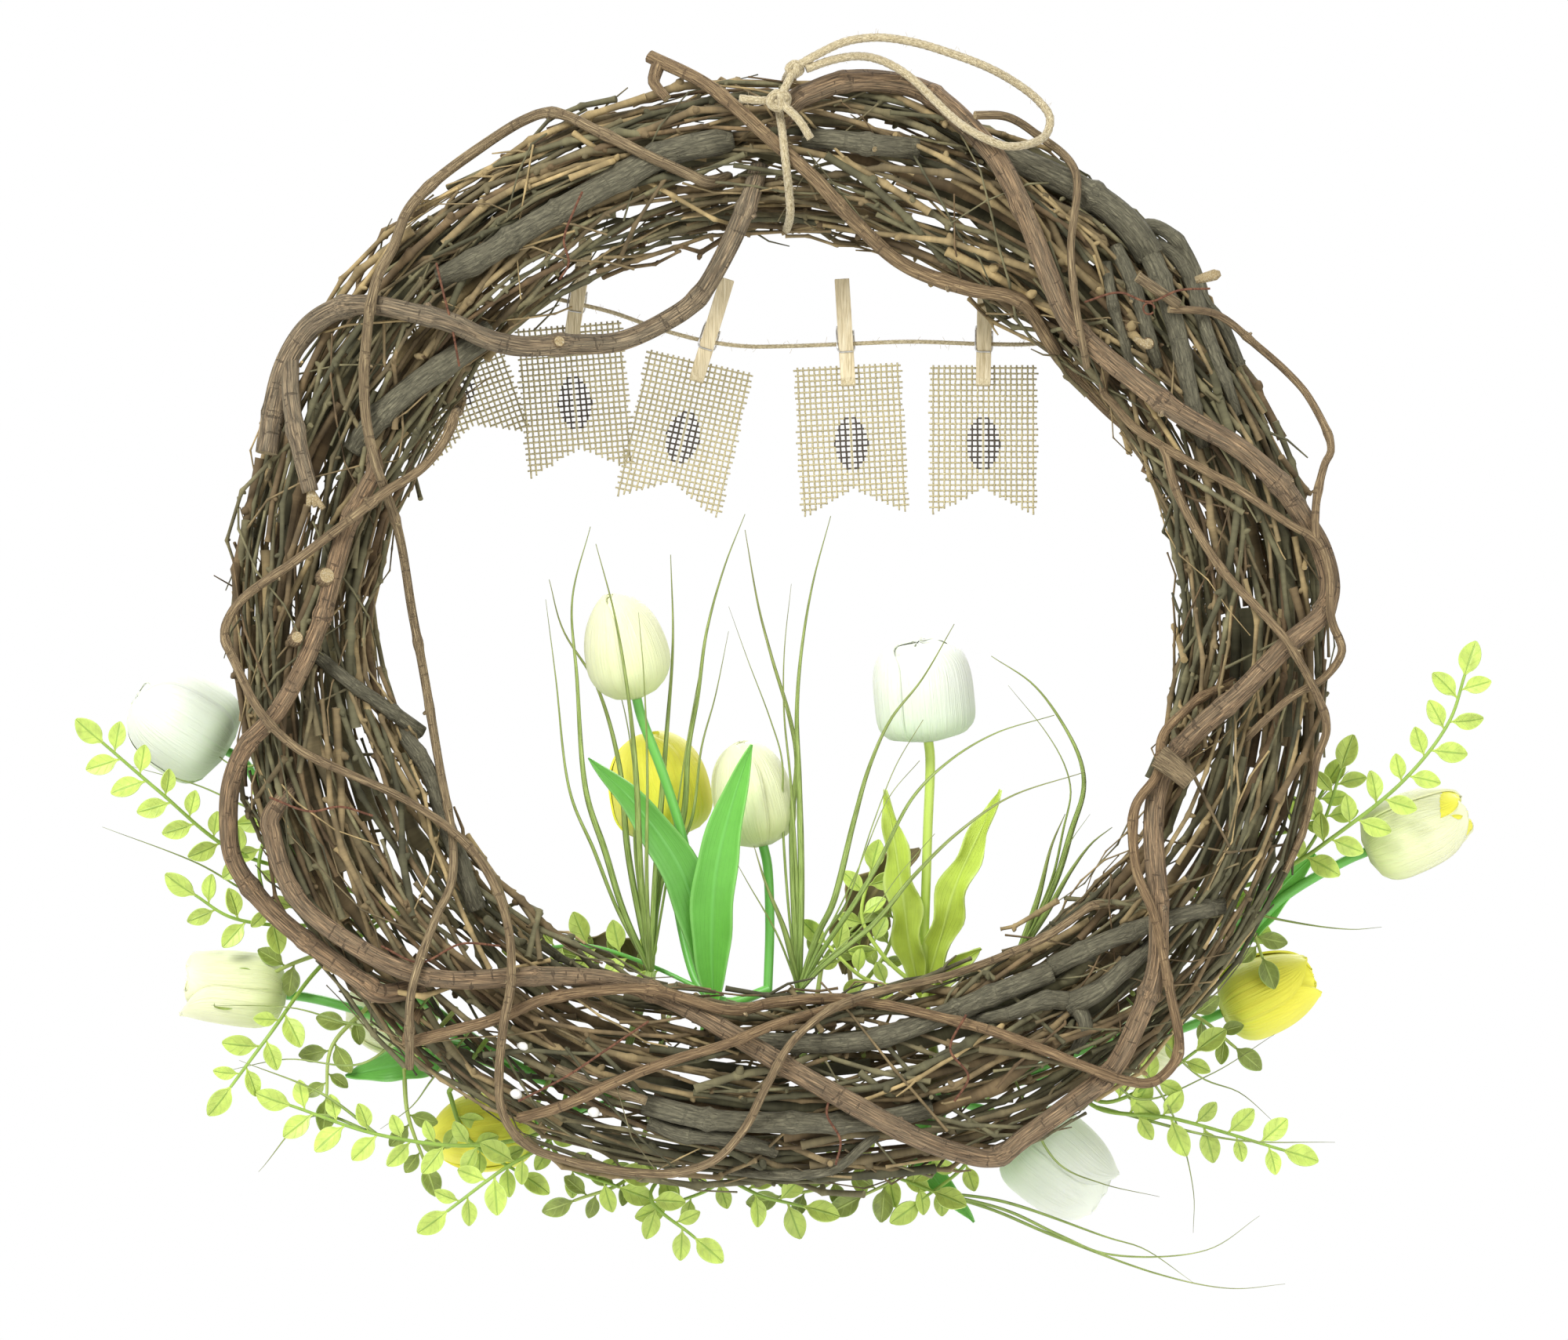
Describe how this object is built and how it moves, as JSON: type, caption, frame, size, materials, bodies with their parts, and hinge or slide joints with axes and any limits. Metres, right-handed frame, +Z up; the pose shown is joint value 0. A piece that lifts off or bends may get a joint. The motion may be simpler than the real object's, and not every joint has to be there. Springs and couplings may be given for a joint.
{
  "type": "wreath",
  "caption": "Spring door wreath of brushwood and vines with tulips, leafy sprays and burlap pennants on pegs",
  "frame": {"origin": "the upper knot of the hanging loop, at the top of the ring's back", "axes": "+X to the right as seen from the back, +Y out of the front, away from the door, +Z up"},
  "size_m": [0.621, 0.1295, 0.5533],
  "materials": {
    "brushwood": "dry grey-brown twigs, dull",
    "vine_red": "stringy red-brown bark, dull",
    "vine_tan": "smooth tan bark, dull",
    "jute": "hairy twisted jute",
    "burlap": "open plain weave",
    "peg_wood": "plain sanded wood",
    "petal_white": "soft foam petals, matt",
    "petal_cream": "soft foam petals, matt",
    "petal_yellow": "soft foam petals, matt",
    "stem_green": "moulded stems and leaves, satin",
    "stem_lime": "moulded stems and leaves, satin",
    "leaflet_lime": "moulded leaflets, satin",
    "grass_olive": "thin moulded blades, satin",
    "dried_brown": "crinkled dry leaf, dull"
  },
  "bodies": {
    "root": {"vine_long_red": "vine_red", "vine_left": "vine_red", "vine_big_loop": "vine_red", "vine_top": "vine_tan", "vine_bottom_tan": "vine_tan", "vine_left_tan": "vine_tan", "vine_low_tan": "vine_tan", "vine_right_thin": "vine_tan", "loop_knots": "jute", "hanging_loop": "jute", "tulip_1": "petal_cream", "tulip_2": "petal_yellow", "tulip_3": "petal_cream", "tulip_4": "petal_white", "tulip_5": "petal_white", "tulip_6": "petal_cream", "tulip_7": "petal_yellow", "tulip_8": "petal_white", "tulip_9": "petal_yellow", "tulip_10": "petal_cream", "tulip_11": "petal_cream", "tulip_12": "petal_cream", "stems_inner_left": "stem_green", "stems_inner_right": "stem_lime", "stems_outer_left": "stem_green", "stems_outer_right": "stem_green", "spray_left": "leaflet_lime", "spray_bottom_left": "leaflet_lime", "spray_bottom": "leaflet_lime", "spray_right_low": "leaflet_lime", "spray_right": "leaflet_lime", "grass_inner_left": "grass_olive", "grass_inner_centre": "grass_olive", "grass_inner_right": "grass_olive", "dried_leaf_right": "dried_brown", "dried_leaf_left": "dried_brown", "garland_twine": "jute", "peg_1_fixed_half": "peg_wood", "pennant_1": "burlap", "peg_2_fixed_half": "peg_wood", "pennant_2": "burlap", "peg_3_fixed_half": "peg_wood", "pennant_3": "burlap", "peg_4_fixed_half": "peg_wood", "pennant_4": "burlap", "peg_5_fixed_half": "peg_wood", "pennant_5": "burlap", "brushwood_1": "brushwood", "brushwood_2": "brushwood", "brushwood_3": "brushwood", "brushwood_4": "brushwood", "brushwood_5": "brushwood", "brushwood_6": "brushwood", "brushwood_7": "brushwood", "brushwood_8": "brushwood"},
    "peg_1_jaw": {"peg_1_sprung_half": "peg_wood"},
    "peg_2_jaw": {"peg_2_sprung_half": "peg_wood"},
    "peg_3_jaw": {"peg_3_sprung_half": "peg_wood"},
    "peg_4_jaw": {"peg_4_sprung_half": "peg_wood"},
    "peg_5_jaw": {"peg_5_sprung_half": "peg_wood"}
  },
  "joints": [
    {"name": "peg_1_hinge", "type": "hinge", "parent": "root", "child": "peg_1_jaw", "pos_m": [-0.16664, 0.066, -0.08686], "axis": [-0.9455, 0, -0.3256], "range_deg": [0, 10], "stiffness_Nm_per_rad": 0.02},
    {"name": "peg_2_hinge", "type": "hinge", "parent": "root", "child": "peg_2_jaw", "pos_m": [-0.09609, 0.066, -0.09431], "axis": [-0.9877, 0, 0.1564], "range_deg": [0, 10], "stiffness_Nm_per_rad": 0.02},
    {"name": "peg_3_hinge", "type": "hinge", "parent": "root", "child": "peg_3_jaw", "pos_m": [-0.03669, 0.066, -0.11109], "axis": [-0.9563, 0, 0.2924], "range_deg": [0, 10], "stiffness_Nm_per_rad": 0.02},
    {"name": "peg_4_hinge", "type": "hinge", "parent": "root", "child": "peg_4_jaw", "pos_m": [0.02247, 0.066, -0.11205], "axis": [-0.9981, 0, -0.061], "range_deg": [0, 10], "stiffness_Nm_per_rad": 0.02},
    {"name": "peg_5_hinge", "type": "hinge", "parent": "root", "child": "peg_5_jaw", "pos_m": [0.08444, 0.066, -0.112], "axis": [-0.9998, 0, 0.0175], "range_deg": [0, 10], "stiffness_Nm_per_rad": 0.02}
  ]
}
